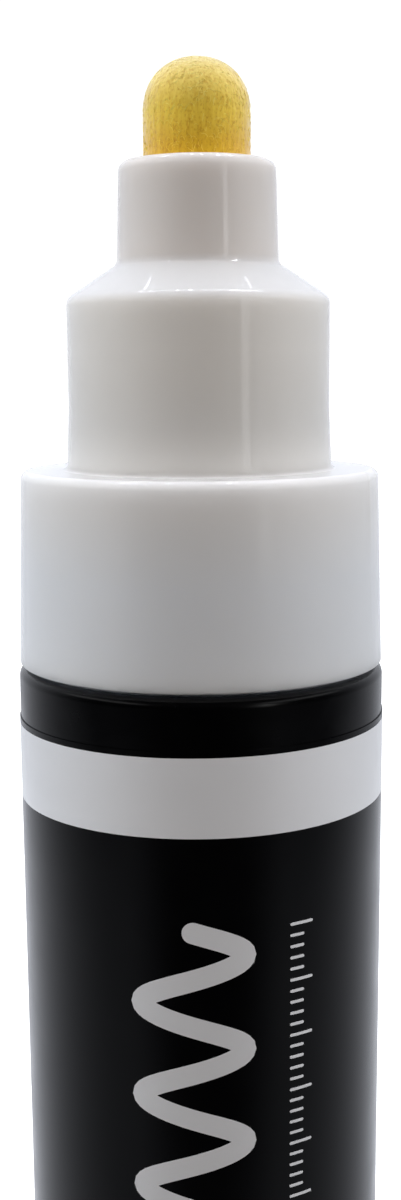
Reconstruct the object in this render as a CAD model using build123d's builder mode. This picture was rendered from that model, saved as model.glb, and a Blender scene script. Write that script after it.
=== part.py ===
from build123d import *
from math import cos, hypot, pi, sin
import os

# Liquid chalk marker with its cap off, in millimetres.
# The origin is the centre of the tail's face, and +Z runs along the marker to the nib.

# Barrel and the plug in its tail
barrel_diameter = 20.4
barrel_length = 105.2
barrel_wall = 1.5
barrel_rim_fillet = 0.5
seat_step = 0.4
tail_flange = 2.2
tail_edge_fillet = 0.8
tail_spigot = 6.0
tail_spigot_wall = 1.3
tail_recess_diameter = 12.0
tail_recess_depth = 0.5

# Label film
label_thickness = 0.05
label_drop = 2.67
label_foot_margin = 4.23
label_adhesive = 0.01

# Nose: neck, shoulder, cap seat and collar
neck_wall = 1.29
neck_length = 5.33
neck_draft = 0.16
neck_rim_fillet = 0.55
neck_foot_fillet = 0.5
shoulder_height = 1.8
shoulder_edge_fillet = 0.7
cap_seat_diameter = 14.26
cap_seat_length = 9.16
cap_seat_flare = 0.15
cap_seat_flare_length = 3.4
cap_seat_foot_fillet = 0.3
collar_inset = 0.06
collar_height = 10.63
collar_draft = 0.31
collar_crown_fillet = 0.45
collar_edge_fillet = 0.1
nose_wall = 1.4
nose_roof = 0.9
skirt_length = 9.0
skirt_wall = 1.3
seam_gap = 0.24

# Nib
nib_diameter = 5.72
nib_protrusion = 5.44
nib_foot_chamfer = 0.4

# Valve
valve_travel = 2.2
valve_flange = 1.6
valve_guide_height = 7.0
valve_guide_wall = 1.0
valve_port_gap = 0.8
seat_lip_width = 0.8
seat_lip_height = 0.6
cage_socket_depth = 4.0
cage_socket_wall = 1.0
stem_diameter = 3.0
stem_stop_gap = 0.5
cup_depth = 4.0
cup_wall = 0.9
cup_floor = 1.2
ink_hole_diameter = 1.0
ink_hole_count = 4
head_diameter = 7.4
head_thickness = 1.2
seal_thickness = 1.0
seal_diameter = 7.0
tail_pin_diameter = 2.4
tail_pin_overhang = 0.5
cage_bore_gap = 0.6
cage_wall = 0.9
cage_floor = 1.2
cage_window_width = 2.4
cage_window_margin = 1.2
cage_window_count = 4

# Valve spring
spring_length = 9.0
spring_mean_diameter = 4.8
spring_wire = 0.5
spring_turns = 5
spring_end_gap = 0.02
arcs_per_turn = 4

# Mixing ball
ball_diameter = 9.0
ball_rest_gap = 0.05

# Fits and small breaks of edge
fit_clearance = 0.02
nib_clearance = 0.06
guide_clearance = 0.1
snap_bead = 0.2
snap_bead_half_width = 0.5
snap_clearance = 0.03
lead_chamfer = 0.3
fillet_share = 0.45

# Radii worked out from the sizes above
barrel_r = barrel_diameter / 2
bore_r = barrel_r - barrel_wall
mouth_r = bore_r + seat_step
skirt_r = mouth_r - fit_clearance
skirt_bore_r = skirt_r - skirt_wall
spigot_r = bore_r - fit_clearance
nib_r = nib_diameter / 2
nib_bore_r = nib_r + nib_clearance
neck_top_r = nib_bore_r + neck_wall
neck_base_r = neck_top_r + neck_draft
cap_seat_r = cap_seat_diameter / 2
cap_foot_r = cap_seat_r + cap_seat_flare
cap_bore_r = cap_seat_r - nose_wall
collar_base_r = barrel_r - collar_inset
collar_top_r = collar_base_r - collar_draft
collar_ledge = collar_top_r - cap_foot_r
label_bore_r = barrel_r + label_adhesive
label_r = label_bore_r + label_thickness
stem_r = stem_diameter / 2
cup_bore_r = nib_r + nib_clearance
cup_r = cup_bore_r + cup_wall
guide_bore_r = cup_r + guide_clearance
guide_r = guide_bore_r + valve_guide_wall
port_r = stem_r + valve_port_gap
lip_r = port_r + seat_lip_width
head_r = head_diameter / 2
seal_r = seal_diameter / 2
tail_pin_r = tail_pin_diameter / 2
cage_bore_r = head_r + cage_bore_gap
cage_r = cage_bore_r + cage_wall
socket_bore_r = cage_r + fit_clearance
socket_r = socket_bore_r + cage_socket_wall
ball_r = ball_diameter / 2
recess_r = tail_recess_diameter / 2
spigot_bore_r = spigot_r - tail_spigot_wall
pin_bore_r = tail_pin_r + guide_clearance
groove = snap_bead + snap_clearance

# Heights worked out from the sizes above, from the tail up
barrel_base = tail_flange
barrel_top = barrel_base + barrel_length
collar_base = barrel_top + seam_gap
collar_top = collar_base + collar_height
shoulder_edge = collar_top + cap_seat_length
neck_base = shoulder_edge + shoulder_height
nose_top = neck_base + neck_length
nib_tip = nose_top + nib_protrusion
skirt_base = collar_base - skirt_length
flange_base = skirt_base - valve_flange
seat_face = flange_base - seat_lip_height
head_top = seat_face - seal_thickness
head_base = head_top - head_thickness
cage_floor_top = head_base - spring_length
cage_base = cage_floor_top - cage_floor
socket_base = flange_base - cage_socket_depth
cup_base = skirt_base + valve_travel + stem_stop_gap
nib_foot = cup_base + cup_floor
skirt_bead_z = skirt_base + skirt_length / 2
spigot_top = barrel_base + tail_spigot
spigot_bead_z = barrel_base + tail_spigot / 2
guide_top = skirt_base + valve_guide_height
stem_foot = cage_base - tail_pin_overhang
cup_rim = nib_foot + cup_depth
cage_bead_z = socket_base + cage_socket_depth / 2
label_top = barrel_top - label_drop
label_base = barrel_base + label_foot_margin

# Roundings that share a ledge or a wall are limited by it
rim_fillet = min(neck_rim_fillet, neck_wall * fillet_share)
crown_fillet = min(collar_crown_fillet, collar_ledge * fillet_share)
foot_fillet = min(cap_seat_foot_fillet, collar_ledge * fillet_share)

os.makedirs("parts", exist_ok=True)

# Barrel: a tube with a stepped mouth, and a snap groove near each end
with BuildPart() as barrel:
    with BuildSketch(Plane.XZ):
        with BuildLine():
            outline = [
                ((bore_r + lead_chamfer, barrel_base), 0),
                ((barrel_r, barrel_base), 0),
                ((barrel_r, barrel_top), barrel_rim_fillet),
                ((mouth_r + lead_chamfer, barrel_top), 0),
                ((mouth_r, barrel_top - lead_chamfer), 0),
                ((mouth_r, skirt_bead_z + snap_bead_half_width), 0),
                ((mouth_r + groove, skirt_bead_z), 0),
                ((mouth_r, skirt_bead_z - snap_bead_half_width), 0),
                ((mouth_r, flange_base), 0),
                ((bore_r, flange_base), 0),
                ((bore_r, spigot_bead_z + snap_bead_half_width), 0),
                ((bore_r + groove, spigot_bead_z), 0),
                ((bore_r, spigot_bead_z - snap_bead_half_width), 0),
                ((bore_r, barrel_base + lead_chamfer), 0),
            ]
            FilletPolyline([p for p, _ in outline], radius=[f for _, f in outline], close=True)
        make_face()
    revolve(axis=Axis.Z)
barrel.part.label = "barrel"
export_step(barrel.part, "parts/barrel.step")

# Tail plug: a flange that the marker stands on, and a hollow spigot with a snap bead
with BuildPart() as tail_plug:
    with BuildSketch(Plane.XZ):
        with BuildLine():
            outline = [
                ((0, tail_recess_depth), 0),
                ((recess_r, tail_recess_depth), 0),
                ((recess_r, 0), 0),
                ((barrel_r, 0), tail_edge_fillet),
                ((barrel_r, barrel_base), 0),
                ((spigot_r, barrel_base), 0),
                ((spigot_r, spigot_bead_z - snap_bead_half_width), 0),
                ((spigot_r + snap_bead, spigot_bead_z), 0),
                ((spigot_r, spigot_bead_z + snap_bead_half_width), 0),
                ((spigot_r, spigot_top - lead_chamfer), 0),
                ((spigot_r - lead_chamfer, spigot_top), 0),
                ((spigot_bore_r, spigot_top), 0),
                ((spigot_bore_r, tail_flange), 0),
                ((0, tail_flange), 0),
            ]
            FilletPolyline([p for p, _ in outline], radius=[f for _, f in outline], close=True)
        make_face()
    revolve(axis=Axis.Z)
tail_plug.part.label = "tail_plug"
export_step(tail_plug.part, "parts/tail_plug.step")

# Label: a film wrapped round the barrel
with BuildPart() as label:
    with BuildSketch(Plane.XY.offset(label_base)):
        Circle(label_r)
        Circle(label_bore_r, mode=Mode.SUBTRACT)
    extrude(amount=label_top - label_base)
label.part.label = "label"
export_step(label.part, "parts/label.step")

# Nose: one moulding, from the neck that guides the nib to the skirt that snaps into the barrel
with BuildPart() as nose:
    with BuildSketch(Plane.XZ):
        with BuildLine():
            outline = [
                ((nib_bore_r, nose_top), 0),
                ((neck_top_r, nose_top), rim_fillet),
                ((neck_base_r, neck_base), neck_foot_fillet),
                ((cap_seat_r, shoulder_edge), shoulder_edge_fillet),
                ((cap_seat_r, collar_top + cap_seat_flare_length), 0),
                ((cap_foot_r, collar_top), foot_fillet),
                ((collar_top_r, collar_top), crown_fillet),
                ((collar_base_r, collar_base), collar_edge_fillet),
                ((skirt_r, collar_base), 0),
                ((skirt_r, skirt_bead_z + snap_bead_half_width), 0),
                ((skirt_r + snap_bead, skirt_bead_z), 0),
                ((skirt_r, skirt_bead_z - snap_bead_half_width), 0),
                ((skirt_r, skirt_base + lead_chamfer), 0),
                ((skirt_r - lead_chamfer, skirt_base), 0),
                ((skirt_bore_r, skirt_base), 0),
                ((skirt_bore_r, collar_top - nose_wall), 0),
                ((cap_bore_r, collar_top - nose_wall), 0),
                ((cap_bore_r, shoulder_edge - nose_roof), 0),
                ((nib_bore_r, shoulder_edge - nose_roof), 0),
            ]
            FilletPolyline([p for p, _ in outline], radius=[f for _, f in outline], close=True)
        make_face()
    revolve(axis=Axis.Z)
nose.part.label = "nose"
export_step(nose.part, "parts/nose.step")

# Nib: a felt rod with a round tip, whose foot stands in the stem's cup
with BuildPart() as nib:
    with BuildSketch(Plane.XZ):
        with BuildLine():
            Polyline(
                (0, nib_tip),
                (0, nib_foot),
                (nib_r - nib_foot_chamfer, nib_foot),
                (nib_r, nib_foot + nib_foot_chamfer),
                (nib_r, nib_tip - nib_r),
            )
            CenterArc((0, nib_tip - nib_r), nib_r, 0, 90)
        make_face()
    revolve(axis=Axis.Z)
nib.part.label = "nib"
export_step(nib.part, "parts/nib.step")

# Valve body: a flange clamped under the skirt, a guide for the stem above and a socket for the cage below
with BuildPart() as valve_body:
    with BuildSketch(Plane.XZ):
        with BuildLine():
            outline = [
                ((port_r, skirt_base), 0),
                ((guide_bore_r, skirt_base), 0),
                ((guide_bore_r, guide_top), 0),
                ((guide_r, guide_top), lead_chamfer),
                ((guide_r, skirt_base), 0),
                ((skirt_r, skirt_base), 0),
                ((skirt_r, flange_base), 0),
                ((socket_r, flange_base), 0),
                ((socket_r, socket_base), lead_chamfer),
                ((socket_bore_r, socket_base), 0),
                ((socket_bore_r, cage_bead_z - snap_bead_half_width), 0),
                ((socket_bore_r + groove, cage_bead_z), 0),
                ((socket_bore_r, cage_bead_z + snap_bead_half_width), 0),
                ((socket_bore_r, flange_base), 0),
                ((lip_r, flange_base), 0),
                ((lip_r, seat_face), 0),
                ((port_r, seat_face), 0),
            ]
            FilletPolyline([p for p, _ in outline], radius=[f for _, f in outline], close=True)
        make_face()
    revolve(axis=Axis.Z)
valve_body.part.label = "valve_body"
export_step(valve_body.part, "parts/valve_body.step")

# Valve stem: a cup for the nib's foot with ink holes in its floor, a rod, a head and a tail pin
with BuildPart() as valve_stem:
    with BuildSketch(Plane.XZ):
        with BuildLine():
            Polyline(
                (0, stem_foot),
                (tail_pin_r, stem_foot),
                (tail_pin_r, head_base),
                (head_r, head_base),
                (head_r, head_top),
                (stem_r, head_top),
                (stem_r, cup_base),
                (cup_r, cup_base),
                (cup_r, cup_rim),
                (cup_bore_r, cup_rim),
                (cup_bore_r, nib_foot),
                (0, nib_foot),
                close=True,
            )
        make_face()
    revolve(axis=Axis.Z)
    with BuildSketch(Plane.XY.offset(cup_base)):
        with PolarLocations((stem_r + cup_bore_r) / 2, ink_hole_count):
            Circle(ink_hole_diameter / 2)
    extrude(amount=cup_floor, mode=Mode.SUBTRACT)
valve_stem.part.label = "valve_stem"
export_step(valve_stem.part, "parts/valve_stem.step")

# Valve seal: a rubber washer on the head, closed against the seat's lip
with BuildPart() as valve_seal:
    with BuildSketch(Plane.XY.offset(head_top)):
        Circle(seal_r)
        Circle(stem_r + fit_clearance, mode=Mode.SUBTRACT)
    extrude(amount=seal_thickness)
valve_seal.part.label = "valve_seal"
export_step(valve_seal.part, "parts/valve_seal.step")

# Valve cage: a cup snapped into the body's socket, with ink windows and a guide hole for the tail pin
window_height = socket_base - cage_floor_top - 2 * cage_window_margin
with BuildPart() as valve_cage:
    with BuildSketch(Plane.XZ):
        with BuildLine():
            Polyline(
                (pin_bore_r, cage_base),
                (cage_r, cage_base),
                (cage_r, cage_bead_z - snap_bead_half_width),
                (cage_r + snap_bead, cage_bead_z),
                (cage_r, cage_bead_z + snap_bead_half_width),
                (cage_r, flange_base),
                (cage_bore_r, flange_base),
                (cage_bore_r, cage_floor_top),
                (pin_bore_r, cage_floor_top),
                close=True,
            )
        make_face()
    revolve(axis=Axis.Z)
    with BuildSketch(Plane.XY.offset(cage_floor_top + cage_window_margin)):
        with PolarLocations((cage_bore_r + cage_r) / 2, cage_window_count):
            Rectangle(2 * cage_wall, cage_window_width)
    extrude(amount=window_height, mode=Mode.SUBTRACT)
valve_cage.part.label = "valve_cage"
export_step(valve_cage.part, "parts/valve_cage.step")

# Valve spring: round wire wound at an even pitch, on tangent arcs, between the cage's floor and the head
spring_r = spring_mean_diameter / 2
spring_base = cage_floor_top + spring_wire / 2 + spring_end_gap
spring_rise = spring_length - spring_wire - 2 * spring_end_gap
spring_pitch = spring_rise / spring_turns


def coil_point(turn):
    """A point of the wire's centre line, that many turns up from its foot."""
    angle = 2 * pi * turn
    return Vector(spring_r * cos(angle), spring_r * sin(angle), spring_base + spring_pitch * turn)


def coil_tangent(turn):
    """The wire's direction there."""
    angle = 2 * pi * turn
    return Vector(-sin(angle), cos(angle), spring_pitch / (2 * pi * spring_r)).normalized()


def biarc_joint(turn, next_turn):
    """Where two arcs of equal reach, tangent to the wire at both points, meet."""
    start, end = coil_point(turn), coil_point(next_turn)
    go, stop = coil_tangent(turn), coil_tangent(next_turn)
    chord = end - start
    along = chord.dot(go + stop)
    bend = 2 * (1 - go.dot(stop))
    reach = (hypot(along, (bend * chord.dot(chord)) ** 0.5) - along) / bend
    return (start + go * reach + end - stop * reach) * 0.5


with BuildPart() as valve_spring:
    with BuildLine() as wire:
        for step in range(spring_turns * arcs_per_turn):
            low, high = step / arcs_per_turn, (step + 1) / arcs_per_turn
            joint = biarc_joint(low, high)
            first = TangentArc(coil_point(low), joint, tangent=coil_tangent(low))
            TangentArc(joint, coil_point(high), tangent=first % 1)
    with BuildSketch(Plane(origin=coil_point(0), z_dir=coil_tangent(0))):
        Circle(spring_wire / 2)
    sweep(path=wire.line)
valve_spring.part.label = "valve_spring"
export_step(valve_spring.part, "parts/valve_spring.step")
print("least gap between the spring's turns", round(spring_pitch - spring_wire, 3))

# Mixing ball: loose in the barrel, at rest on the tail plug
with BuildPart() as mixing_ball:
    with Locations((0, 0, tail_flange + ball_rest_gap + ball_r)):
        Sphere(ball_r)
mixing_ball.part.label = "mixing_ball"
export_step(mixing_ball.part, "parts/mixing_ball.step")
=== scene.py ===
from math import cos, pi, radians, sin, tan
from random import Random

import bmesh
import bpy
from mathutils import Euler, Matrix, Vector, noise


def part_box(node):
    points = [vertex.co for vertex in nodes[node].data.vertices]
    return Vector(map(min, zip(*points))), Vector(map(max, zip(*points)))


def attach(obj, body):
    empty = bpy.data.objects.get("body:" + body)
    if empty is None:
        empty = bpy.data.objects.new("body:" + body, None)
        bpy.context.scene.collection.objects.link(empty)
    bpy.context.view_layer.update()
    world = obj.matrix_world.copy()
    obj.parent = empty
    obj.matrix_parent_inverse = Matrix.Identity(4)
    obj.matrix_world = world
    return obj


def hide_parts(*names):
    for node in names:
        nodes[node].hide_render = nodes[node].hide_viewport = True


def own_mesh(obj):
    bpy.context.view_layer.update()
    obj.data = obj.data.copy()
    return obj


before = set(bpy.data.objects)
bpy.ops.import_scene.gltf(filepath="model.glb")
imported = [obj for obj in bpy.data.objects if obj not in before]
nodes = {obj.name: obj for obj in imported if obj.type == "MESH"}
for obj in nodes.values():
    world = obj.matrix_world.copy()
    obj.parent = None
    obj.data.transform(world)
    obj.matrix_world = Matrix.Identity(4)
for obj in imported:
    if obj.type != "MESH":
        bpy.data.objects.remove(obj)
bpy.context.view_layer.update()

# Sizes are in metres, and MM makes them readable.
MM = 0.001

# Photograph: its size in pixels, and the camera that fits it
PHOTO_WIDTH = 401
PHOTO_HEIGHT = 1200
FOCAL_PIXELS = 1506.8
PRINCIPAL_COLUMN = 200.7
PRINCIPAL_ROW = 638.3
CAMERA_DISTANCE = 83.72 * MM
CAMERA_ABOVE_BAND = 19.78 * MM
CAMERA_PITCH = radians(10.5)
CAMERA_ROLL = radians(-0.44)
CAMERA_NEAR = 5 * MM
SENSOR = 36.0

# Places along the marker, from the frame
LABEL_LOW, LABEL_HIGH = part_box("label")
BARREL_LOW, BARREL_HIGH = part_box("barrel")
NOSE_LOW, NOSE_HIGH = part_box("nose")
NIB_LOW, NIB_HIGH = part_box("nib")
TAIL_LOW, TAIL_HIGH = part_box("tail_plug")
SPRING_LOW, SPRING_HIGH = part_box("valve_spring")
BARREL_RADIUS = BARREL_HIGH.x
BARREL_BASE = BARREL_LOW.z
BARREL_TOP = BARREL_HIGH.z
NIB_RADIUS = NIB_HIGH.x
NOSE_TOP = NOSE_HIGH.z
SKIRT_BASE = NOSE_LOW.z

# Barrel and tail plug
BARREL_WALL = 1.5 * MM
BARREL_RIM_FILLET = 0.5 * MM
MOUTH_STEP = 0.4 * MM
MOUTH_DEPTH = 10.36 * MM
TAIL_EDGE_FILLET = 0.8 * MM
TAIL_RECESS_RADIUS = 6.0 * MM
TAIL_RECESS_DEPTH = 0.5 * MM
SPIGOT_WALL = 1.3 * MM
LEAD_CHAMFER = 0.3 * MM
FIT_CLEARANCE = 0.02 * MM
SNAP_BEAD = 0.2 * MM
SNAP_HALF_WIDTH = 0.5 * MM
SNAP_CLEARANCE = 0.03 * MM

# Nose: heights down from its top, and radii out from the nib
NIB_CLEARANCE = 0.06 * MM
NECK_WALL = 1.29 * MM
NECK_DRAFT = 0.16 * MM
NECK_LENGTH = 5.33 * MM
NECK_RIM_FILLET = 0.55 * MM
NECK_FOOT_FILLET = 0.5 * MM
SHOULDER_HEIGHT = 1.8 * MM
SHOULDER_EDGE_FILLET = 0.7 * MM
CAP_SEAT_RADIUS = 7.13 * MM
CAP_SEAT_LENGTH = 9.16 * MM
CAP_SEAT_FLARE = 0.15 * MM
CAP_SEAT_FLARE_LENGTH = 3.4 * MM
CAP_SEAT_FOOT_FILLET = 0.3 * MM
COLLAR_INSET = 0.06 * MM
COLLAR_HEIGHT = 10.63 * MM
COLLAR_DRAFT = 0.31 * MM
COLLAR_CROWN_FILLET = 0.45 * MM
COLLAR_EDGE_FILLET = 0.1 * MM
NOSE_WALL = 1.4 * MM
NOSE_ROOF = 0.9 * MM
SKIRT_WALL = 1.3 * MM
PARTING_ANGLE = radians(65)
PARTING_HEIGHT = 0.06 * MM
PARTING_RISE = 0.22 * MM
PARTING_FALL = 0.75 * MM
PARTING_LENGTH = 5.0 * MM
PARTING_FADE = 1.8 * MM
NOSE_SCATTER = 1.5 * MM

# Heights and radii that follow for the nose and the barrel
NIB_BORE = NIB_RADIUS + NIB_CLEARANCE
NECK_TOP_RADIUS = NIB_BORE + NECK_WALL
NECK_BASE = NOSE_TOP - NECK_LENGTH
SHOULDER_EDGE = NECK_BASE - SHOULDER_HEIGHT
COLLAR_TOP = SHOULDER_EDGE - CAP_SEAT_LENGTH
COLLAR_BASE = COLLAR_TOP - COLLAR_HEIGHT
COLLAR_BASE_RADIUS = BARREL_RADIUS - COLLAR_INSET
COLLAR_TOP_RADIUS = COLLAR_BASE_RADIUS - COLLAR_DRAFT
BORE = BARREL_RADIUS - BARREL_WALL
MOUTH = BORE + MOUTH_STEP
SKIRT_RADIUS = MOUTH - FIT_CLEARANCE
SKIRT_BORE = SKIRT_RADIUS - SKIRT_WALL
CAP_BORE = CAP_SEAT_RADIUS - NOSE_WALL
SKIRT_BEAD = (SKIRT_BASE + COLLAR_BASE) / 2
PARTING_PLACES = (PARTING_ANGLE, PARTING_ANGLE - pi)

# Label film, its white band and its print
FILM_THICKNESS = 0.05 * MM
FILM_ADHESIVE = 0.01 * MM
FILM_OVERLAP = 2.5 * MM
FILM_CLIMB = 0.625 * MM
FILM_STEP = 0.06 * MM
FILM_SKEW = tan(radians(0.34))
BAND_MARGIN = 0.32 * MM
BAND_WIDTH = 4.23 * MM
INK_HEIGHT = 0.012 * MM
WAVE_STROKE = 1.15 * MM
WAVE_REACH = 2.75 * MM
WAVE_PITCH = 5.2 * MM
WAVE_PLACE = radians(-3)
WAVE_TOP_MARGIN = 9.6 * MM
WAVE_FOOT_MARGIN = 8.0 * MM
TICK_PLACE = radians(27)
TICK_WIDTH = 0.16 * MM
TICK_LENGTH = 0.7 * MM
TICK_LONG = 1.25 * MM
TICK_SPACING = 0.62 * MM
TICK_GROUP = 5
TICK_COUNT = 61

# Felt nib: a rod with a dome, of which the top stands out of the nose
NIB_SIDE = NIB_HIGH.z - NIB_LOW.z - NIB_RADIUS
NIB_DOME = NIB_RADIUS * pi / 2
NIB_FOOT_CHAMFER = 0.4 * MM
TIP_FLATTENING = 0.049
FELT_RELIEF = 0.022 * MM
FELT_STREAK = 0.12 * MM
FELT_STRETCH = 2.5
FELT_STREAK_SHARE = 0.7
FELT_PORE_SHARE = 0.5
FELT_SINK = 0.4
FELT_FINE_DEPTH = 2.5 * MM
FELT_FINE_STEP = 0.06 * MM
FELT_HIDDEN_STEP = 0.3 * MM
# Places of the tones up the shown tip: for the felt, painted shade at the foot and partly painted light at
# the tip
FELT_TONE_PLACES = (0.12, 0.42, 0.95)

# Loose fibres on the felt, which lean, curl and lie flatter towards the tip
FIBRE_SEED = 7
FIBRE_COUNT = 1000
FIBRE_SIDES = 3
FIBRE_RADIUS = 0.014 * MM
FIBRE_LIFT = 0.012 * MM
FIBRE_CALM = 0.8
FIBRE_STEP = 0.07 * MM
FIBRE_STEPS = 6
FIBRE_MARGIN = 0.1 * MM
FIBRE_DOME_SHARE = 0.93
FIBRE_LEAN = 0.6
FIBRE_DOME_LEAN = 1.3
FIBRE_CURL = 0.45
FIBRE_DOME_CURL = 0.2
FIBRE_LEAST_RADIUS = 0.15

# Valve spring
SPRING_WIRE = 0.5 * MM
SPRING_TURNS = 5
SPRING_CLOSED_TURNS = 0.75

# Fineness of the meshes
AROUND = 192
NIB_AROUND = 256
WIRE_SIDES = 12
COIL_STEPS = 48
ARC_STEPS = 12
STROKE_COLUMNS = 8
STROKE_END_STEPS = 6
LEAST_STROKE = 0.02
WAVE_STEPS = 36
TICK_STEPS = 4
SUPPORT = 0.04 * MM
NEAR_AXIS = 0.02 * MM
SHARP_ANGLE = radians(40)

# Grain of the materials, in features per metre, with its detail and its stretch along the marker
NOISE_LOW = 0.3
NOISE_HIGH = 0.7
MOTTLE_SCALE = 180
MOTTLE_DETAIL = 4
GLOSS_SCALE = 420
GLOSS_DETAIL = 5
SKIN_STRENGTH = 0.35
SKIN_DETAIL = 2
FELT_DETAIL = 3
COLUMN_SCALE = 5200
COLUMN_STRETCH = (1, 1, 0.08)
PORE_SCALE = 9000
PORE_STRETCH = (1, 1, 0.6)
FUZZ_SCALE = 14000
FUZZ_DEPTH = 0.015 * MM

# Soft lights: place, size, power in watts and colour
LIGHT_TARGET = (0, 0, 0.12)
SOFT_LIGHTS = {
    "front_softbox": ((0, -0.36, 0.40), (0.47, 0.23), 1.0, (1.0, 0.93, 0.87)),
    "top_softbox": ((0, 0.15, 0.95), (0.7, 0.7), 7.2, (0.87, 0.91, 1.0)),
    "left_softbox": ((-0.62, 0, 0.26), (0.45, 0.45), 2.65, (0.95, 0.98, 1.0)),
    "right_softbox": ((0.62, 0, 0.26), (0.45, 0.45), 2.6, (0.97, 0.985, 1.0)),
}

# Cards that show as a stripe down the right: lower and upper height, and brightness
STRIPE_CARDS = ((0.06, 0.11, 0.5), (0.11, 0.17, 1.1), (0.17, 0.32, 1.6))
STRIPE_WIDTHS = (0.03, 0.075)
STRIPE_ACROSS = 0.386
STRIPE_FORWARD = 0.46

# Cards that brighten the rims on both sides
RIM_ACROSS = 0.47
RIM_FORWARD = 0.17
RIM_HEIGHT = 0.45
RIM_TARGET = (0, 0, 0.107)
RIM_SIZE = (0.6, 0.12)
RIM_RADIANCE = 0.6

# Small overhead lamps, placed by their slopes across and back from straight up
LAMP_SHARE = 0.14
LEAST_CLIMB = 0.01
ROW_RADIANCE = 32
ROW_PLACE = 0.16
ROW_REACH = 0.56
ROW_PITCH = 0.1
ROW_THICKNESS = 0.08
VEE_RADIANCE = 9
VEE_PLACE = 0.41
VEE_SLOPE = 0.93
VEE_REACH = 0.30
VEE_PITCH = 0.044
VEE_THICKNESS = 0.008

# White room: it darkens towards the camera's side, and glows below
BRIGHT_SIDE = (-0.07, 1.0, 0.0)
ROOM_COLOUR = (0.89, 0.92, 1.0, 1)
ROOM_STRENGTH = 0.97
ROOM_RANGE = (-0.3, 1.0)
LOW_GLOW = 0.26
LOW_SIDE_GLOW = 0.16
LOW_RANGE = (-0.26, -0.33)
SIDE_RANGE = (-0.85, -0.62)
BACKDROP_STRENGTH = 1.1

# Floor, which glows white a little way out
FLOOR_RADIUS = 6.0
FLOOR_SIDES = 128
FLOOR_GAP = 0.05 * MM
FLOOR_GLOW = (0.35, 1.0)
FLOOR_GLOW_RANGE = (0.05, 0.16)
WHITE = (1, 1, 1)


def new_material(name):
    """A node material, with its tree and its main shader."""
    material = bpy.data.materials.new(name)
    material.use_nodes = True
    tree = material.node_tree
    return material, tree, tree.nodes["Principled BSDF"]


def place(tree, kind, **sockets):
    """A new node of a tree, with the values of the inputs that are named."""
    made = tree.nodes.new(kind)
    for key, value in sockets.items():
        made.inputs[key.replace("_", " ")].default_value = value
    return made


def object_noise(tree, scale, detail, stretch=(1, 1, 1)):
    """Noise over the object's own coordinates, in features per metre."""
    where = tree.nodes.new("ShaderNodeTexCoord")
    squeeze = place(tree, "ShaderNodeMapping", Scale=stretch)
    grain = place(tree, "ShaderNodeTexNoise", Scale=scale, Detail=detail)
    tree.links.new(where.outputs["Object"], squeeze.inputs["Vector"])
    tree.links.new(squeeze.outputs["Vector"], grain.inputs["Vector"])
    return grain.outputs["Fac"]


def spread(tree, value, low, high, clip=(NOISE_LOW, NOISE_HIGH)):
    """A value that runs from low to high as another runs over a range, by default the usual one of noise."""
    step = place(tree, "ShaderNodeMapRange", From_Min=clip[0], From_Max=clip[1], To_Min=low, To_Max=high)
    tree.links.new(value, step.inputs["Value"])
    return step.outputs["Result"]


def colours(tree, value, *stops):
    """A colour between several, each given with its place from 0 to 1."""
    ramp = tree.nodes.new("ShaderNodeValToRGB")
    elements = ramp.color_ramp.elements
    while len(elements) < len(stops):
        elements.new(1.0)
    for element, (position, colour) in zip(elements, stops):
        element.position = position
        element.color = (*colour, 1)
    tree.links.new(value, ramp.inputs["Fac"])
    return ramp.outputs["Color"]


def height_tones(tree, *stops):
    """A colour that changes along the marker, between colours that are given with their heights."""
    where = tree.nodes.new("ShaderNodeTexCoord")
    split = tree.nodes.new("ShaderNodeSeparateXYZ")
    tree.links.new(where.outputs["Object"], split.inputs["Vector"])
    low, high = stops[0][0], stops[-1][0]
    share = spread(tree, split.outputs["Z"], 0.0, 1.0, (low, high))
    return colours(tree, share, *[((height - low) / (high - low), colour) for height, colour in stops])


def multiplied(tree, first, second):
    """The product of two colours."""
    product = tree.nodes.new("ShaderNodeMix")
    product.data_type = "RGBA"
    product.blend_type = "MULTIPLY"
    product.inputs["Factor"].default_value = 1.0
    tree.links.new(first, product.inputs["A"])
    tree.links.new(second, product.inputs["B"])
    return product.outputs["Result"]


def add_bump(tree, shader, height, strength, distance):
    """Bump of a height, on a shader."""
    bump = place(tree, "ShaderNodeBump", Strength=strength, Distance=distance)
    tree.links.new(height, bump.inputs["Height"])
    tree.links.new(bump.outputs["Normal"], shader.inputs["Normal"])


def plastic(name, dark, light, rough, skin, level=0.5):
    """Moulded plastic: a slight mottle, uneven gloss and a fine skin, given by its scale and depth."""
    material, tree, shader = new_material(name)
    shader.inputs["Specular IOR Level"].default_value = level
    mottle = object_noise(tree, MOTTLE_SCALE, MOTTLE_DETAIL)
    tone = colours(tree, mottle, (NOISE_LOW, dark), (NOISE_HIGH, light))
    tree.links.new(tone, shader.inputs["Base Color"])
    gloss = object_noise(tree, GLOSS_SCALE, GLOSS_DETAIL)
    tree.links.new(spread(tree, gloss, *rough), shader.inputs["Roughness"])
    scale, depth = skin
    add_bump(tree, shader, object_noise(tree, scale, SKIN_DETAIL), SKIN_STRENGTH, depth)
    return material


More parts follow.
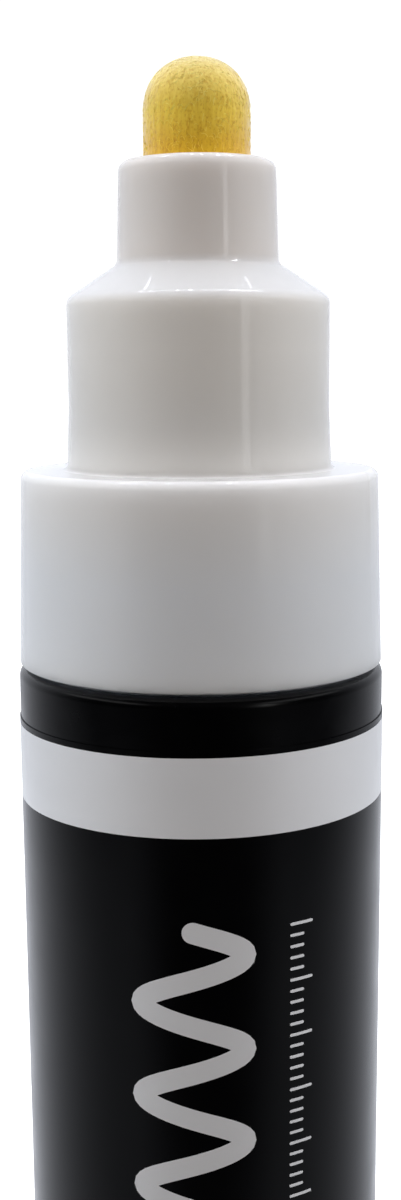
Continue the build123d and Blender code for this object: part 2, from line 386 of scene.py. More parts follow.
def nose_painted_light(tree):
    """Painted light and shade up the nose: a cool cast on the collar, a painted highlight on the ledge,
    painted shade at the cap seat's foot and on the shoulder, and a warm cast higher up and on the neck.
    """
    # Painted colours of light and shade, which are multiplied into the plastic's mottle
    cool, pale, lit_ledge = (0.80, 0.82, 0.855), (0.835, 0.83, 0.83), (0.93, 0.925, 0.925)
    shaded_seat_foot, warm = (0.72, 0.71, 0.695), (0.83, 0.81, 0.785)
    shaded_shoulder, warm_lit_neck = (0.765, 0.762, 0.765), (0.79, 0.755, 0.735)
    return height_tones(
        tree,
        (COLLAR_TOP - 5.33 * MM, cool),
        (COLLAR_TOP - 1.655 * MM, pale),
        (COLLAR_TOP - 0.087 * MM, pale),
        # Painted highlight on the ledge
        (COLLAR_TOP - 0.026 * MM, lit_ledge),
        (COLLAR_TOP + 0.036 * MM, lit_ledge),
        # Painted shade at the foot of the cap seat
        (COLLAR_TOP + 0.109 * MM, shaded_seat_foot),
        (COLLAR_TOP + 2.51 * MM, shaded_seat_foot),
        (SHOULDER_EDGE - 2.73 * MM, warm),
        (SHOULDER_EDGE - 0.28 * MM, warm),
        # Painted shade on the shoulder, then a painted warm cast on the neck
        (SHOULDER_EDGE + 0.088 * MM, shaded_shoulder),
        (NECK_BASE - 0.243 * MM, shaded_shoulder),
        (NECK_BASE + 0.37 * MM, warm_lit_neck),
    )


def nose_material():
    """Glossy white plastic of the nose, which lets some light through, with painted light and shade by height
    in its colour.
    """
    material = plastic("white_plastic", (0.97, 0.97, 0.97), WHITE, (0.05, 0.07), (1400, 0.0002 * MM))
    tree = material.node_tree
    shader = tree.nodes["Principled BSDF"]
    shader.inputs["Subsurface Weight"].default_value = 1.0
    shader.inputs["Subsurface Radius"].default_value = (1, 1, 1)
    shader.inputs["Subsurface Scale"].default_value = NOSE_SCATTER
    mottle = shader.inputs["Base Color"].links[0].from_socket
    # Painted light and shade by height, over the mottle
    tree.links.new(multiplied(tree, mottle, nose_painted_light(tree)), shader.inputs["Base Color"])
    return material


def felt_material(name, sheen, *tones):
    """Felt: short streaks and pores over a colour that pales towards the tip, and a soft fuzz; for the felt,
    the tones by height hold painted shade at its foot and, in part, painted light at its tip.
    """
    material, tree, shader = new_material(name)
    streak = object_noise(tree, COLUMN_SCALE, FELT_DETAIL, COLUMN_STRETCH)
    columns = colours(tree, streak, (0.35, (0.90, 0.84, 0.64)), (0.6, WHITE))
    pore = object_noise(tree, PORE_SCALE, FELT_DETAIL, PORE_STRETCH)
    pores = colours(tree, pore, (0.32, (0.80, 0.67, 0.38)), (0.47, (0.98, 0.97, 0.9)), (0.6, WHITE))
    grain = multiplied(tree, columns, pores)
    shown = NIB_HIGH.z - NOSE_TOP
    # Tones by height up the shown tip; for the felt, the lowest is painted shade where it meets the nose
    stops = [(NOSE_TOP + place_up * shown, tone) for place_up, tone in zip(FELT_TONE_PLACES, tones)]
    tree.links.new(multiplied(tree, grain, height_tones(tree, *stops)), shader.inputs["Base Color"])
    shader.inputs["Roughness"].default_value = 0.95
    shader.inputs["Specular IOR Level"].default_value = 0.15
    shader.inputs["Sheen Weight"].default_value = sheen
    shader.inputs["Sheen Tint"].default_value = (1.0, 0.96, 0.88, 1)
    shader.inputs["Sheen Roughness"].default_value = 0.5
    fuzz = object_noise(tree, FUZZ_SCALE, FELT_DETAIL, PORE_STRETCH)
    add_bump(tree, shader, fuzz, SKIN_STRENGTH, FUZZ_DEPTH)
    return material


def steel_material():
    """Bright drawn steel of the spring and the ball."""
    material = plastic("steel", (0.55, 0.55, 0.56), (0.62, 0.62, 0.63), (0.16, 0.26), (2000, 0.002 * MM))
    material.node_tree.nodes["Principled BSDF"].inputs["Metallic"].default_value = 1.0
    return material


white_plastic = nose_material()
black_plastic = plastic(
    "black_plastic",
    dark=(0.0006, 0.0006, 0.0008),
    light=(0.0014, 0.0014, 0.0017),
    rough=(0.2, 0.28),
    skin=(2600, 0.004 * MM),
)
black_film = plastic(
    "black_film",
    dark=(0.0012, 0.0012, 0.0015),
    light=(0.002, 0.002, 0.0024),
    rough=(0.18, 0.24),
    skin=(900, 0.003 * MM),
)
white_ink = plastic(
    "white_ink",
    dark=(0.83, 0.845, 0.885),
    light=(0.86, 0.875, 0.915),
    rough=(0.18, 0.24),
    skin=(900, 0.003 * MM),
)
valve_plastic = plastic(
    "valve_plastic",
    dark=(0.72, 0.72, 0.68),
    light=(0.78, 0.78, 0.74),
    rough=(0.30, 0.40),
    skin=(1200, 0.004 * MM),
)
seal_rubber = plastic(
    "seal_rubber",
    dark=(0.015, 0.015, 0.015),
    light=(0.03, 0.03, 0.03),
    rough=(0.55, 0.70),
    skin=(2200, 0.006 * MM),
)
# Felt tones: a darker foot, which is painted shade where the nib meets the nose, and a paler tip, which is
# partly the felt's own colour and partly painted light
felt = felt_material("felt", 1.0, (0.79, 0.49, 0.016), (1.0, 0.73, 0.075), (0.82, 0.68, 0.22))
fibre = felt_material("fibre", 0.15, (1.0, 0.79, 0.15), (1.0, 0.87, 0.22), (1.0, 0.92, 0.45))
steel = steel_material()


def finished(name, vertices, faces, *materials):
    """A smooth object of those vertices and faces, with its normals outward and its sharp edges kept."""
    mesh = bpy.data.meshes.new(name)
    mesh.from_pydata(vertices, [], faces)
    shape = bmesh.new()
    shape.from_mesh(mesh)
    bmesh.ops.recalc_face_normals(shape, faces=shape.faces)
    shape.to_mesh(mesh)
    shape.free()
    mesh.shade_smooth()
    mesh.set_sharp_from_angle(angle=SHARP_ANGLE)
    for material in materials:
        mesh.materials.append(material)
    made = bpy.data.objects.new(name, mesh)
    bpy.context.scene.collection.objects.link(made)
    return made


def corner_points(before, corner, after, fillet):
    """A corner of an outline: itself, or an arc with a point close by on each side that holds the shading."""
    if not fillet:
        return [corner]
    back = (before - corner).normalized()
    on = (after - corner).normalized()
    half = back.angle(on) / 2
    reach = fillet / tan(half)
    centre = corner + (back + on).normalized() * fillet / sin(half)
    start = corner + back * reach - centre
    end = corner + on * reach - centre
    turn = pi - 2 * half
    arc = []
    for step in range(ARC_STEPS + 1):
        share = step / ARC_STEPS
        arc.append(centre + (start * sin((1 - share) * turn) + end * sin(share * turn)) / sin(turn))
    return [corner + back * (reach + SUPPORT), *arc, corner + on * (reach + SUPPORT)]


def rounded(corners):
    """Points of a closed outline of corners, each a radius, a height and a fillet."""
    flat = [Vector(corner[:2]) for corner in corners]
    points = []
    for index, corner in enumerate(corners):
        after = flat[(index + 1) % len(flat)]
        points += corner_points(flat[index - 1], flat[index], after, corner[2])
    return points


def on_axis(angle, radius, height):
    """A point at an angle from the front, a radius from the axis and a height."""
    return (radius * sin(angle), -radius * cos(angle), height)


def even_angles(count):
    """Angles once round, from the back."""
    return [2 * pi * step / count - pi for step in range(count)]


def revolved(name, outline, angles, relief, *materials):
    """A solid turned from a closed outline, with a relief that adds to the radius."""
    size = len(angles)
    vertices = []
    for radius, height in outline:
        for angle in angles:
            vertices.append(on_axis(angle, radius + relief(angle, radius, height), height))
    faces = []
    for ring in range(len(outline)):
        here = ring * size
        there = (ring + 1) % len(outline) * size
        for step in range(size):
            beside = (step + 1) % size
            faces.append((here + step, here + beside, there + beside, there + step))
    return finished(name, vertices, faces, *materials)


def no_relief(angle, radius, height):
    """A plain turned surface."""
    return 0.0


def ridge_share(offset):
    """Height of the parting ridge from 0 to 1, at a distance round the collar from its crest."""
    if offset < 0:
        return max(0.0, 1 + offset / PARTING_RISE)
    return max(0.0, 1 - offset / PARTING_FALL)


def parting_relief(angle, radius, height):
    """Ridge of the mould's parting line on the collar, which fades down its length."""
    if radius < CAP_SEAT_RADIUS + NOSE_WALL or height < COLLAR_BASE:
        return 0.0
    fade = min(1.0, max(0.0, (PARTING_LENGTH - COLLAR_TOP + height) / PARTING_FADE))
    return PARTING_HEIGHT * fade * sum(ridge_share((angle - crest) * radius) for crest in PARTING_PLACES)


def collar_radius(depth):
    """Radius of the collar's tapered side, that far below its top."""
    return COLLAR_TOP_RADIUS + COLLAR_DRAFT * depth / COLLAR_HEIGHT


def nose_moulding():
    """The white nose: neck, shoulder, cap seat, collar and snap skirt, with its parting lines."""
    outline = rounded([
        (NIB_BORE, NOSE_TOP, 0),
        (NECK_TOP_RADIUS, NOSE_TOP, NECK_RIM_FILLET),
        (NECK_TOP_RADIUS + NECK_DRAFT, NECK_BASE, NECK_FOOT_FILLET),
        (CAP_SEAT_RADIUS, SHOULDER_EDGE, SHOULDER_EDGE_FILLET),
        (CAP_SEAT_RADIUS, COLLAR_TOP + CAP_SEAT_FLARE_LENGTH, 0),
        (CAP_SEAT_RADIUS + CAP_SEAT_FLARE, COLLAR_TOP, CAP_SEAT_FOOT_FILLET),
        (COLLAR_TOP_RADIUS, COLLAR_TOP, COLLAR_CROWN_FILLET),
        (collar_radius(PARTING_LENGTH - PARTING_FADE), COLLAR_TOP - PARTING_LENGTH + PARTING_FADE, 0),
        (collar_radius(PARTING_LENGTH), COLLAR_TOP - PARTING_LENGTH, 0),
        (COLLAR_BASE_RADIUS, COLLAR_BASE, COLLAR_EDGE_FILLET),
        (SKIRT_RADIUS, COLLAR_BASE, 0),
        (SKIRT_RADIUS, SKIRT_BEAD + SNAP_HALF_WIDTH, 0),
        (SKIRT_RADIUS + SNAP_BEAD, SKIRT_BEAD, 0),
        (SKIRT_RADIUS, SKIRT_BEAD - SNAP_HALF_WIDTH, 0),
        (SKIRT_RADIUS, SKIRT_BASE + LEAD_CHAMFER, 0),
        (SKIRT_RADIUS - LEAD_CHAMFER, SKIRT_BASE, 0),
        (SKIRT_BORE, SKIRT_BASE, 0),
        (SKIRT_BORE, COLLAR_TOP - NOSE_WALL, 0),
        (CAP_BORE, COLLAR_TOP - NOSE_WALL, 0),
        (CAP_BORE, SHOULDER_EDGE - NOSE_ROOF, 0),
        (NIB_BORE, SHOULDER_EDGE - NOSE_ROOF, 0),
    ])
    rising = [-PARTING_RISE, -PARTING_RISE / 2, 0]
    falling = [PARTING_FALL * share for share in (1 / 6, 1 / 3, 2 / 3, 1)]
    fine = [angle + step / COLLAR_TOP_RADIUS for angle in PARTING_PLACES for step in rising + falling]
    gap = PARTING_RISE / 2 / COLLAR_TOP_RADIUS
    near = [angle for angle in even_angles(AROUND) if all(abs(angle - other) > gap for other in fine)]
    nose = revolved("nose_moulding", outline, sorted(near + fine), parting_relief, white_plastic)
    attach(nose, "marker_body")
    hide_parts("nose")


def barrel_tube():
    """The black barrel: a tube with a stepped mouth, and a snap groove near each end."""
    groove = SNAP_BEAD + SNAP_CLEARANCE
    spigot_bead = (BARREL_BASE + TAIL_HIGH.z) / 2
    outline = rounded([
        (BORE + LEAD_CHAMFER, BARREL_BASE, 0),
        (BARREL_RADIUS, BARREL_BASE, 0),
        (BARREL_RADIUS, BARREL_TOP, BARREL_RIM_FILLET),
        (MOUTH + LEAD_CHAMFER, BARREL_TOP, 0),
        (MOUTH, BARREL_TOP - LEAD_CHAMFER, 0),
        (MOUTH, SKIRT_BEAD + SNAP_HALF_WIDTH, 0),
        (MOUTH + groove, SKIRT_BEAD, 0),
        (MOUTH, SKIRT_BEAD - SNAP_HALF_WIDTH, 0),
        (MOUTH, BARREL_TOP - MOUTH_DEPTH, 0),
        (BORE, BARREL_TOP - MOUTH_DEPTH, 0),
        (BORE, spigot_bead + SNAP_HALF_WIDTH, 0),
        (BORE + groove, spigot_bead, 0),
        (BORE, spigot_bead - SNAP_HALF_WIDTH, 0),
        (BORE, BARREL_BASE + LEAD_CHAMFER, 0),
    ])
    barrel = revolved("barrel_tube", outline, even_angles(AROUND), no_relief, black_plastic)
    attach(barrel, "marker_body")
    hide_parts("barrel")


def tail_closure():
    """The black tail plug: a flange with a shallow recess, and a hollow spigot with a snap bead."""
    spigot = BORE - FIT_CLEARANCE
    bead = (BARREL_BASE + TAIL_HIGH.z) / 2
    recess = TAIL_LOW.z + TAIL_RECESS_DEPTH
    outline = rounded([
        (NEAR_AXIS, recess, 0),
        (TAIL_RECESS_RADIUS, recess, 0),
        (TAIL_RECESS_RADIUS, TAIL_LOW.z, 0),
        (BARREL_RADIUS, TAIL_LOW.z, TAIL_EDGE_FILLET),
        (BARREL_RADIUS, BARREL_BASE, 0),
        (spigot, BARREL_BASE, 0),
        (spigot, bead - SNAP_HALF_WIDTH, 0),
        (spigot + SNAP_BEAD, bead, 0),
        (spigot, bead + SNAP_HALF_WIDTH, 0),
        (spigot, TAIL_HIGH.z - LEAD_CHAMFER, 0),
        (spigot - LEAD_CHAMFER, TAIL_HIGH.z, 0),
        (spigot - SPIGOT_WALL, TAIL_HIGH.z, 0),
        (spigot - SPIGOT_WALL, BARREL_BASE, 0),
        (NEAR_AXIS, BARREL_BASE, 0),
    ])
    plug = revolved("tail_closure", outline, even_angles(AROUND), no_relief, black_plastic)
    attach(plug, "marker_body")
    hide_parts("tail_plug")


def film_radius(turn):
    """Inner radius of the film at a turn about the axis, whose end climbs over its own start."""
    climb = min(1.0, max(0.0, (turn - 2 * pi) * BARREL_RADIUS / FILM_CLIMB + 1))
    return BARREL_RADIUS + FILM_ADHESIVE + FILM_STEP * climb


def label_film():
    """The printed film, wrapped once round the barrel and lapped at the back."""
    band_top = LABEL_HIGH.z - BAND_MARGIN
    heights = [LABEL_HIGH.z, band_top, band_top - BAND_WIDTH, LABEL_LOW.z]
    length = 2 * pi + FILM_OVERLAP / BARREL_RADIUS
    turns = [length * step / AROUND for step in range(AROUND + 1)]
    loop = [(FILM_THICKNESS, height) for height in heights]
    loop += [(0, height) for height in reversed(heights)]
    vertices = []
    for turn in turns:
        for depth, height in loop:
            skewed = height + FILM_SKEW * BARREL_RADIUS * (turn - pi)
            vertices.append(on_axis(turn - pi, film_radius(turn) + depth, skewed))
    film_ink, band_ink, margin_ink = 0, 1, 2
    outside = (margin_ink, band_ink)
    size = len(loop)
    faces = [tuple(range(size)), tuple(range(len(vertices) - size, len(vertices)))]
    inks = [film_ink, film_ink]
    for step in range(AROUND):
        for side in range(size):
            here = step * size + side
            beside = step * size + (side + 1) % size
            faces.append((here, beside, beside + size, here + size))
            inks.append(outside[side] if side < len(outside) else film_ink)
    film = finished("label_film", vertices, faces, black_film, white_ink, black_plastic)
    for face, ink in zip(film.data.polygons, inks):
        face.material_index = ink
    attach(film, "marker_body")
    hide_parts("label")


def ribbon(vertices, faces, line, width):
    """Adds a closed stroke of ink with round ends, along points that are given across and up the film."""
    columns = STROKE_COLUMNS
    base = len(vertices)
    film = BARREL_RADIUS + FILM_ADHESIVE + FILM_THICKNESS
    walked = [0.0]
    for one, two in zip(line[:-1], line[1:]):
        walked.append(walked[-1] + (two - one).length)
    for index, point in enumerate(line):
        ahead = line[min(index + 1, len(line) - 1)] - line[max(index - 1, 0)]
        across = Vector((-ahead.y, ahead.x)).normalized()
        end = min(walked[index], walked[-1] - walked[index], width / 2)
        half = max(LEAST_STROKE * width, (end * (width - end)) ** 0.5)
        for top in (INK_HEIGHT, -INK_HEIGHT):
            for column in range(columns + 1):
                spot = point + across * half * (2 * column / columns - 1)
                vertices.append(on_axis(spot.x / film, film + top, spot.y + FILM_SKEW * spot.x))
    row = 2 * (columns + 1)
    loop = [*range(columns + 1), *range(row - 1, columns, -1)]
    for index in range(len(line) - 1):
        here = base + index * row
        for side in range(row):
            one, two = loop[side], loop[(side + 1) % row]
            faces.append((here + one, here + two, here + two + row, here + one + row))
    last = base + (len(line) - 1) * row
    for end in (base, last):
        for column in range(columns):
            low = end + columns + 1 + column
            faces.append((end + column, end + column + 1, low + 1, low))


def capped_line(points, width):
    """Points of a stroke, with more of them near its round ends."""
    start = (points[1] - points[0]).normalized()
    stop = (points[-1] - points[-2]).normalized()
    turns = [pi / 2 * step / STROKE_END_STEPS for step in range(STROKE_END_STEPS)]
    steps = [width / 2 * (1 - cos(turn)) for turn in turns]
    first = [points[0] - start * (width / 2 - step) for step in steps]
    last = [points[-1] + stop * (width / 2 - step) for step in reversed(steps)]
    return [*first, *points, *last]


def wave_points():
    """A plain wave that runs up and down the film, as points across and up it."""
    top = LABEL_HIGH.z - WAVE_TOP_MARGIN
    foot = LABEL_LOW.z + WAVE_FOOT_MARGIN
    middle = WAVE_PLACE * BARREL_RADIUS
    count = int((top - foot) / WAVE_PITCH * WAVE_STEPS)
    points = []
    for step in range(count + 1):
        height = top + (foot - top) * step / count
        swing = sin((top - height) / WAVE_PITCH * 2 * pi)
        points.append(Vector((middle + WAVE_REACH * swing, height)))
    return points


def label_print():
    """White print on the film: a wave, and a scale of small ticks beside it."""
    vertices, faces = [], []
    ribbon(vertices, faces, capped_line(wave_points(), WAVE_STROKE), WAVE_STROKE)
    wave = finished("label_wave", vertices, faces, white_ink)
    vertices, faces = [], []
    top = LABEL_HIGH.z - WAVE_TOP_MARGIN
    for tick in range(TICK_COUNT):
        length = TICK_LONG if tick % TICK_GROUP == 0 else TICK_LENGTH
        start = Vector((TICK_PLACE * BARREL_RADIUS, top - tick * TICK_SPACING))
        points = [start + Vector((length * step / TICK_STEPS, 0)) for step in range(TICK_STEPS + 1)]
        ribbon(vertices, faces, capped_line(points, TICK_WIDTH), TICK_WIDTH)
    ticks = finished("label_ticks", vertices, faces, white_ink)
    for piece in (wave, ticks):
        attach(piece, "marker_body")


def nib_place(along, angle, lift):
    """A point of the felt's surface, that far along it from its foot, and lifted off it."""
    radius = NIB_RADIUS + lift
    if along <= NIB_SIDE:
        return on_axis(angle, radius, NIB_LOW.z + along)
    tilt = (along - NIB_SIDE) / NIB_RADIUS
    rise = sin(tilt) - TIP_FLATTENING * sin(tilt) ** 4
    return on_axis(angle, radius * cos(tilt), NIB_LOW.z + NIB_SIDE + radius * rise)


def felt_relief(along, angle):
    """Height of the felt's streaks and pores at a place of its surface."""
    spot = Vector(nib_place(along, angle, 0))
    tight = Vector((spot.x, spot.y, spot.z / FELT_STRETCH)) / FELT_STREAK
    streak = FELT_STREAK_SHARE * noise.noise(tight)
    pore = FELT_PORE_SHARE * noise.noise(spot / FELT_STREAK)
    return FELT_RELIEF * (streak + pore - FELT_SINK)


def felt_rings():
    """Places of the nib's rings along its surface, close together where it shows."""
    tip = NIB_SIDE + NIB_DOME
    shown = NOSE_TOP - NIB_LOW.z - FELT_FINE_DEPTH
    hidden_count = round(shown / FELT_HIDDEN_STEP)
    hidden = shown - NIB_FOOT_CHAMFER
    rings = [NIB_FOOT_CHAMFER + hidden * step / hidden_count for step in range(hidden_count)]
    shown_count = round((tip - shown) / FELT_FINE_STEP)
    rings += [shown + (tip - shown) * step / shown_count for step in range(shown_count)]
    return rings


def felt_nib():
    """The felt nib: a rod with a round tip, whose surface is streaked along its fibres."""
    around = NIB_AROUND
    angles = [2 * pi * step / around for step in range(around)]
    rings = felt_rings()
    vertices = [(0, 0, NIB_LOW.z)]
    for angle in angles:
        vertices.append(on_axis(angle, NIB_RADIUS - NIB_FOOT_CHAMFER, NIB_LOW.z))
    for along in rings:
        for angle in angles:
            vertices.append(nib_place(along, angle, felt_relief(along, angle)))
    vertices.append(nib_place(NIB_SIDE + NIB_DOME, 0, 0))
    faces = []
    for step in range(around):
        beside = (step + 1) % around
        faces.append((0, 1 + step, 1 + beside))
        for ring in range(len(rings)):
            here = 1 + ring * around
            faces.append((here + step, here + beside, here + around + beside, here + around + step))
        last = 1 + len(rings) * around
        faces.append((last + step, last + beside, len(vertices) - 1))
    nib = finished("felt_nib", vertices, faces, felt)
    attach(nib, "writing_nib")
    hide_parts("nib")


def fibre_thread(draw, vertices):
    """Adds the points of one loose fibre, in rings of its sides."""
    low = NOSE_TOP - NIB_LOW.z + FIBRE_MARGIN
    high = NIB_SIDE + NIB_DOME * FIBRE_DOME_SHARE
    along = draw.uniform(low, high)
    angle = draw.uniform(-pi, pi)
    on_dome = max(0.0, (along - NIB_SIDE) / NIB_DOME)
    heading = draw.gauss(0, FIBRE_LEAN + FIBRE_DOME_LEAN * on_dome)
    curl = draw.gauss(0, FIBRE_CURL + FIBRE_DOME_CURL * on_dome)
    crest = FIBRE_LIFT * (1 - FIBRE_CALM * min(1.0, 2 * on_dome))
    for step in range(FIBRE_STEPS + 1):
        lift = crest * sin(pi * step / FIBRE_STEPS) - FIBRE_RADIUS
        radius = NIB_RADIUS * max(FIBRE_LEAST_RADIUS, cos(max(0.0, along - NIB_SIDE) / NIB_RADIUS))
        for side in range(FIBRE_SIDES):
            turn = 2 * pi * side / FIBRE_SIDES
            aside = FIBRE_RADIUS * cos(turn)
            shift_along = -aside * sin(heading)
            shift_angle = aside * cos(heading) / radius
            out = lift + FIBRE_RADIUS * sin(turn)
            vertices.append(nib_place(along + shift_along, angle + shift_angle, out))
        along = min(high, max(low, along + FIBRE_STEP * cos(heading)))
        angle += FIBRE_STEP * sin(heading) / radius
        heading += curl


def nib_fibres():
    """Loose fibres that lie on the felt, each a thin thread."""
    draw = Random(FIBRE_SEED)
    sides = FIBRE_SIDES
    vertices, faces = [], []
    for _ in range(FIBRE_COUNT):
        base = len(vertices)
        fibre_thread(draw, vertices)
        for step in range(FIBRE_STEPS):
            here = base + sides * step
            for side in range(sides):
                beside = (side + 1) % sides
                faces.append((here + side, here + beside, here + sides + beside, here + sides + side))
        for end in (base, base + sides * FIBRE_STEPS):
            faces.append(tuple(range(end, end + sides)))
    fibres = finished("nib_fibres", vertices, faces, fibre)
    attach(fibres, "writing_nib")


def spring_coil():
    """The valve spring: round wire whose end turns are closed."""
    sides = WIRE_SIDES
    radius = SPRING_HIGH.x - SPRING_WIRE / 2
    low = SPRING_LOW.z + SPRING_WIRE / 2
    rise = SPRING_HIGH.z - SPRING_WIRE / 2 - low
    count = SPRING_TURNS * COIL_STEPS
    vertices = []
    for step in range(count + 1):
        turn = step / COIL_STEPS
        open_turns = SPRING_TURNS - SPRING_CLOSED_TURNS
        share = min(1.0, max(0.0, (turn - SPRING_CLOSED_TURNS / 2) / open_turns))
        height = low + rise * share * share * (3 - 2 * share)
        angle = 2 * pi * turn
        for side in range(sides):
            around = 2 * pi * side / sides
            out = radius + SPRING_WIRE / 2 * cos(around)
            vertices.append(on_axis(angle, out, height + SPRING_WIRE / 2 * sin(around)))
    faces = [tuple(range(sides)), tuple(range(count * sides, (count + 1) * sides))]
    for step in range(count):
        for side in range(sides):
            here = step * sides + side
            beside = step * sides + (side + 1) % sides
            faces.append((here, beside, beside + sides, here + sides))
    spring = finished("spring_coil", vertices, faces, steel)
    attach(spring, "marker_body")
    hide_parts("valve_spring")
    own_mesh(spring)


def assign(target, material):
    """That material alone, on an object."""
    target.data.materials.clear()
    target.data.materials.append(material)


nose_moulding()
barrel_tube()
tail_closure()
label_film()
label_print()
felt_nib()
nib_fibres()
spring_coil()
inner_materials = {
    "valve_body": valve_plastic,
    "valve_stem": valve_plastic,
    "valve_cage": valve_plastic,
    "valve_seal": seal_rubber,
    "mixing_ball": steel,
}
for name, material in inner_materials.items():
    assign(nodes[name], material)


# Camera, at the photograph's angle
camera_data = bpy.data.cameras.new("camera")
camera_data.sensor_width = SENSOR
camera_data.lens = FOCAL_PIXELS / PHOTO_HEIGHT * SENSOR
camera_data.shift_y = (PRINCIPAL_ROW - PHOTO_HEIGHT / 2) / PHOTO_HEIGHT
camera_data.shift_x = -(PRINCIPAL_COLUMN - PHOTO_WIDTH / 2) / PHOTO_HEIGHT
camera_data.clip_start = CAMERA_NEAR
camera = bpy.data.objects.new("camera", camera_data)
bpy.context.scene.collection.objects.link(camera)
camera.location = (0, -CAMERA_DISTANCE, LABEL_HIGH.z - BAND_MARGIN + CAMERA_ABOVE_BAND)
pitched = Euler((pi / 2 - CAMERA_PITCH, 0, 0)).to_matrix()
camera.rotation_euler = (pitched @ Euler((0, 0, CAMERA_ROLL)).to_matrix()).to_euler()
bpy.context.scene.camera = camera
bpy.context.scene.view_settings.view_transform = "Standard"


def soft_light(name, at, target, size, power, colour=WHITE):
    """A rectangular soft light, aimed at a point and out of the camera's sight."""
    data = bpy.data.lights.new(name, "AREA")
    data.energy = power
    data.color = colour
    data.shape = "RECTANGLE"
    data.size, data.size_y = size
    light = bpy.data.objects.new(name, data)
    bpy.context.scene.collection.objects.link(light)
    light.location = at
    light.rotation_euler = (Vector(target) - Vector(at)).to_track_quat("-Z", "Y").to_euler()
    light.visible_camera = False
    return light


def card(name, at, target, size, radiance):
    """A pale card of a given brightness, which shows only as a reflection."""
    light = soft_light(name, at, target, size, pi * size[0] * size[1] * radiance)
    light.visible_diffuse = False


for name, (at, size, power, colour) in SOFT_LIGHTS.items():
    softbox = soft_light(name, at, LIGHT_TARGET, size, power, colour)
    softbox.visible_glossy = False
for low, high, radiance in STRIPE_CARDS:
    for width in STRIPE_WIDTHS:
        height = (low + high) / 2
        at = (STRIPE_ACROSS, -STRIPE_FORWARD, height)
        card("stripe_card", at, (0, 0, height), (width, high - low), radiance)
for side in (-1, 1):
    card("rim_card", (side * RIM_ACROSS, -RIM_FORWARD, RIM_HEIGHT), RIM_TARGET, RIM_SIZE, RIM_RADIANCE)


def reckon(tree, operation, *terms):
    """The result of one step of arithmetic on outputs of nodes and plain numbers."""
    made = tree.nodes.new("ShaderNodeMath")
    made.operation = operation
    for socket, term in zip(made.inputs, terms):
        if isinstance(term, (int, float)):
            socket.default_value = term
        else:
            tree.links.new(term, socket)
    return made.outputs["Value"]


def lamp_points(tree, across, back, course, pitch, reach, thickness):
    """Where small lamps stand along a course over the sky, at an even pitch on both sides of the middle."""
    spot = reckon(tree, "FRACT", reckon(tree, "MULTIPLY", across, 1 / pitch))
    lit = reckon(tree, "COMPARE", spot, 0.5, LAMP_SHARE)
    near = reckon(tree, "COMPARE", back, course, thickness)
    inside = reckon(tree, "LESS_THAN", across, reach)
    return reckon(tree, "MULTIPLY", reckon(tree, "MULTIPLY", lit, near), inside)


def overhead_lamps(tree, split):
    """Brightness of the overhead lamps: one straight row and a pair of slanting ones."""
    climb = reckon(tree, "MAXIMUM", split.outputs["Z"], LEAST_CLIMB)
    across = reckon(tree, "ABSOLUTE", reckon(tree, "DIVIDE", split.outputs["X"], climb))
    back = reckon(tree, "DIVIDE", split.outputs["Y"], climb)
    row = lamp_points(tree, across, back, ROW_PLACE, ROW_PITCH, ROW_REACH, ROW_THICKNESS)
    slant = reckon(tree, "MULTIPLY_ADD", across, VEE_SLOPE, VEE_PLACE)
    vee = lamp_points(tree, across, back, slant, VEE_PITCH, VEE_REACH, VEE_THICKNESS)
    return reckon(tree, "MULTIPLY_ADD", row, ROW_RADIANCE, reckon(tree, "MULTIPLY", vee, VEE_RADIANCE))


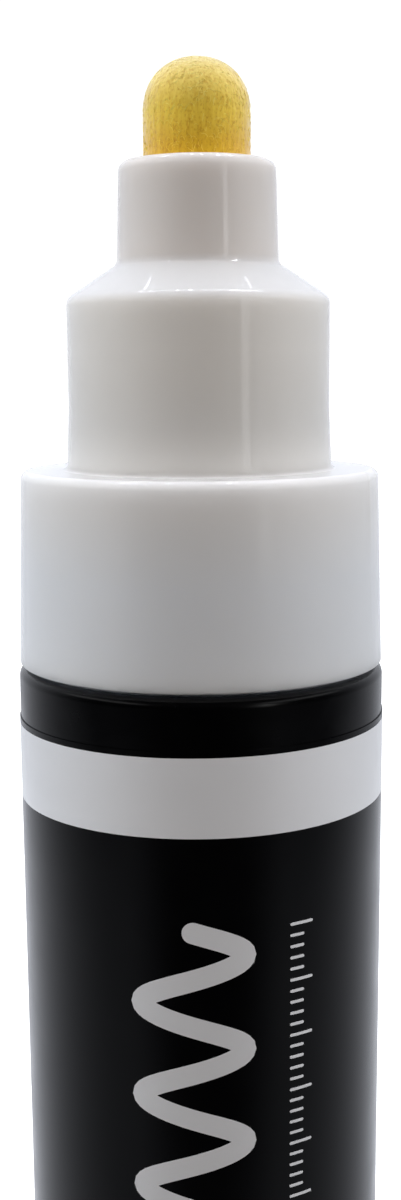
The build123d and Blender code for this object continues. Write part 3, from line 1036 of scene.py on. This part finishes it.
def room_brightness(tree, glossy):
    """Brightness of the room by direction. Its lamps and its lower sides show only as reflections."""
    where = tree.nodes.new("ShaderNodeTexCoord")
    split = tree.nodes.new("ShaderNodeSeparateXYZ")
    tree.links.new(where.outputs["Generated"], split.inputs["Vector"])
    low = spread(tree, split.outputs["Z"], 0.0, 1.0, LOW_RANGE)
    facing = tree.nodes.new("ShaderNodeVectorMath")
    facing.operation = "DOT_PRODUCT"
    facing.inputs[1].default_value = BRIGHT_SIDE
    tree.links.new(where.outputs["Generated"], facing.inputs[0])
    back = facing.outputs["Value"]
    lifted = reckon(tree, "MULTIPLY_ADD", low, LOW_GLOW, back)
    depth = spread(tree, lifted, 0.0, ROOM_STRENGTH ** 0.5, ROOM_RANGE)
    sides = reckon(tree, "MULTIPLY", low, spread(tree, back, 0.0, LOW_SIDE_GLOW, SIDE_RANGE))
    mirrored = reckon(tree, "ADD", sides, overhead_lamps(tree, split))
    return reckon(tree, "MULTIPLY_ADD", mirrored, glossy, reckon(tree, "MULTIPLY", depth, depth))


def surround():
    """A white room that darkens towards the camera's side, and a plain backdrop for the camera."""
    world = bpy.data.worlds.new("surround")
    bpy.context.scene.world = world
    world.use_nodes = True
    tree = world.node_tree
    seen = tree.nodes.new("ShaderNodeLightPath")
    room = tree.nodes["Background"]
    room.inputs["Color"].default_value = ROOM_COLOUR
    tree.links.new(room_brightness(tree, seen.outputs["Is Glossy Ray"]), room.inputs["Strength"])
    backdrop = place(tree, "ShaderNodeBackground", Color=(*WHITE, 1), Strength=BACKDROP_STRENGTH)
    mixed = tree.nodes.new("ShaderNodeMixShader")
    tree.links.new(seen.outputs["Is Camera Ray"], mixed.inputs["Fac"])
    tree.links.new(room.outputs["Background"], mixed.inputs[1])
    tree.links.new(backdrop.outputs["Background"], mixed.inputs[2])
    tree.links.new(mixed.outputs["Shader"], tree.nodes["World Output"].inputs["Surface"])


def pale_floor():
    """A plain pale floor, white a little way out from the marker."""
    bpy.ops.mesh.primitive_circle_add(radius=FLOOR_RADIUS, vertices=FLOOR_SIDES, fill_type="NGON")
    floor = bpy.context.object
    floor.name = "floor"
    floor.location.z = -FLOOR_GAP
    floor.visible_diffuse = False
    floor.visible_glossy = False
    paint = plastic(
        "floor_paint",
        dark=(0.80, 0.80, 0.80),
        light=(0.83, 0.83, 0.83),
        rough=(0.7, 0.8),
        skin=(60, 0.01 * MM),
        level=0.1,
    )
    tree = paint.node_tree
    shader = tree.nodes["Principled BSDF"]
    shader.inputs["Emission Color"].default_value = (*WHITE, 1)
    where = tree.nodes.new("ShaderNodeTexCoord")
    far = tree.nodes.new("ShaderNodeVectorMath")
    far.operation = "LENGTH"
    tree.links.new(where.outputs["Object"], far.inputs[0])
    glow = spread(tree, far.outputs["Value"], *FLOOR_GLOW, FLOOR_GLOW_RANGE)
    tree.links.new(glow, shader.inputs["Emission Strength"])
    assign(floor, paint)


surround()
pale_floor()
